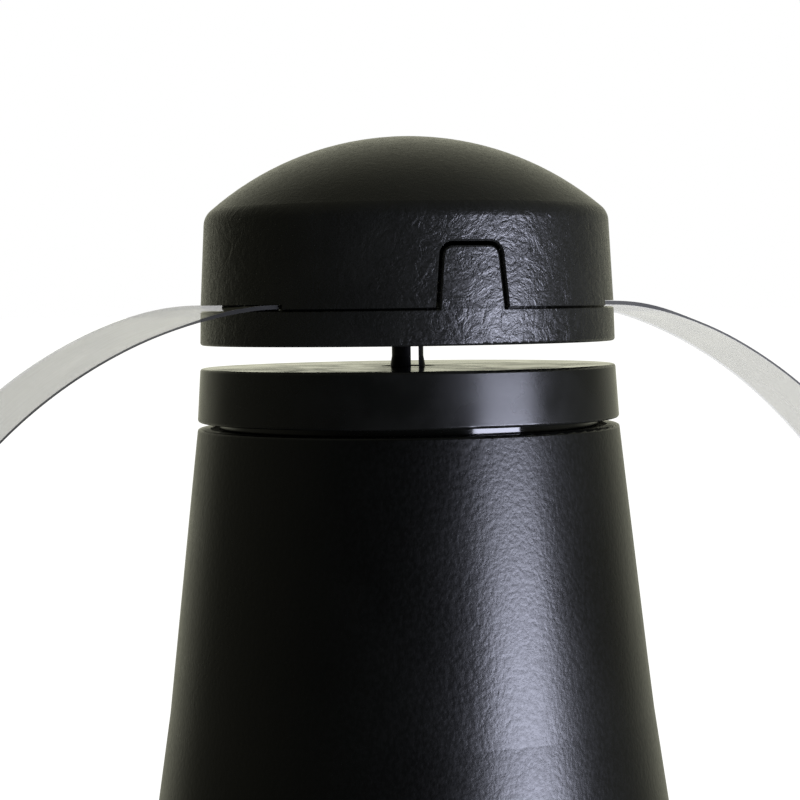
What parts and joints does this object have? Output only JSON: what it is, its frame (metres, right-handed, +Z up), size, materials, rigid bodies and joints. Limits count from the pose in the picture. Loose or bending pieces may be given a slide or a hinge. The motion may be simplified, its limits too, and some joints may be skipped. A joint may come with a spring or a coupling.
{
  "type": "fly fan",
  "caption": "Table-top fly-repelling fan: a domed battery-driven hub turns limp translucent film blades above a tall flared black stand.",
  "frame": {"origin": "on the table, under the hub axis", "axes": "+Z up along the hub axis; the blades lie along +X and -X at rest; -Y is the side with the switch"},
  "size_m": [0.1864, 0.1, 0.225],
  "materials": {
    "stand_plastic": "fine leather-grain moulded texture",
    "collar_plastic": "smooth, semi-gloss",
    "rotor_plastic": "smooth with fine handling scuffs",
    "blade_film": "frosted translucent film",
    "inner_plastic": "plain moulded",
    "foot_rubber": "matt",
    "motor_steel": "zinc-plated sheet",
    "screw_steel": "zinc-plated",
    "core_steel": "laminated",
    "magnet": "sintered ferrite",
    "copper": "enamelled wire",
    "bronze": "sintered",
    "contact_metal": "nickel-plated",
    "end_bell_plastic": "plain moulded",
    "cell_wrap": "plain unmarked sleeve",
    "switch_plastic": "plain moulded",
    "lead_red": "insulated lead",
    "lead_black": "insulated lead"
  },
  "bodies": {
    "stand": {"body_shell": "stand_plastic", "base_plate": "stand_plastic", "collar": "collar_plastic", "motor_retainer": "inner_plastic", "foot_front_left": "foot_rubber", "foot_front_right": "foot_rubber", "foot_rear_left": "foot_rubber", "foot_rear_right": "foot_rubber", "motor_can": "motor_steel", "motor_magnet_1": "magnet", "motor_magnet_2": "magnet", "motor_front_bush": "bronze", "motor_rear_bush": "bronze", "motor_brush_1": "bronze", "motor_brush_2": "bronze", "motor_terminal_1": "contact_metal", "motor_terminal_2": "contact_metal", "motor_end_bell": "end_bell_plastic", "retainer_screws": "screw_steel", "collar_screws": "screw_steel", "base_screws": "screw_steel", "switch_screws": "screw_steel", "battery_cell_1": "cell_wrap", "battery_cell_2": "cell_wrap", "battery_spring_1": "contact_metal", "battery_spring_2": "contact_metal", "contact_positive": "contact_metal", "contact_negative": "contact_metal", "contact_link": "contact_metal", "switch_frame": "contact_metal", "switch_case": "switch_plastic", "switch_terminals": "contact_metal", "lead_battery_to_switch": "lead_red", "lead_switch_to_motor": "lead_red", "lead_motor_to_battery": "lead_black"},
    "rotor": {"rotor_cap": "rotor_plastic", "rotor_base": "rotor_plastic", "blade_left_root": "blade_film", "blade_right_root": "blade_film", "drive_post": "inner_plastic", "motor_shaft": "motor_steel", "motor_core": "core_steel", "motor_winding_1": "copper", "motor_winding_2": "copper", "motor_winding_3": "copper", "motor_commutator": "copper"},
    "blade_left_film": {"blade_left": "blade_film"},
    "blade_right_film": {"blade_right": "blade_film"},
    "switch_slider": {"switch_knob": "switch_plastic"},
    "door": {"battery_door": "stand_plastic"}
  },
  "joints": [
    {"name": "rotor_spin", "type": "hinge", "parent": "stand", "child": "rotor", "pos_m": [0, 0, 0.2], "axis": [0, 0, 1], "continuous": true},
    {"name": "blade_right_bend", "type": "hinge", "parent": "rotor", "child": "blade_right_film", "pos_m": [0.02605, 0, 0.2042], "axis": [0, -1, 0], "range_deg": [-10, 40], "stiffness_Nm_per_rad": 0.02, "springref_deg": 3.21},
    {"name": "blade_left_bend", "type": "hinge", "parent": "rotor", "child": "blade_left_film", "pos_m": [-0.02605, 0, 0.2042], "axis": [0, 1, 0], "range_deg": [-10, 40], "stiffness_Nm_per_rad": 0.02, "springref_deg": 3.21},
    {"name": "switch_slide", "type": "slide", "parent": "stand", "child": "switch_slider", "axis": [1, 0, 0], "range_m": [0, 0.003]},
    {"name": "battery_door_hinge", "type": "hinge", "parent": "stand", "child": "door", "pos_m": [-0.02935, 0, 0.0023], "axis": [0, 1, 0], "range_deg": [0, 90]}
  ]
}
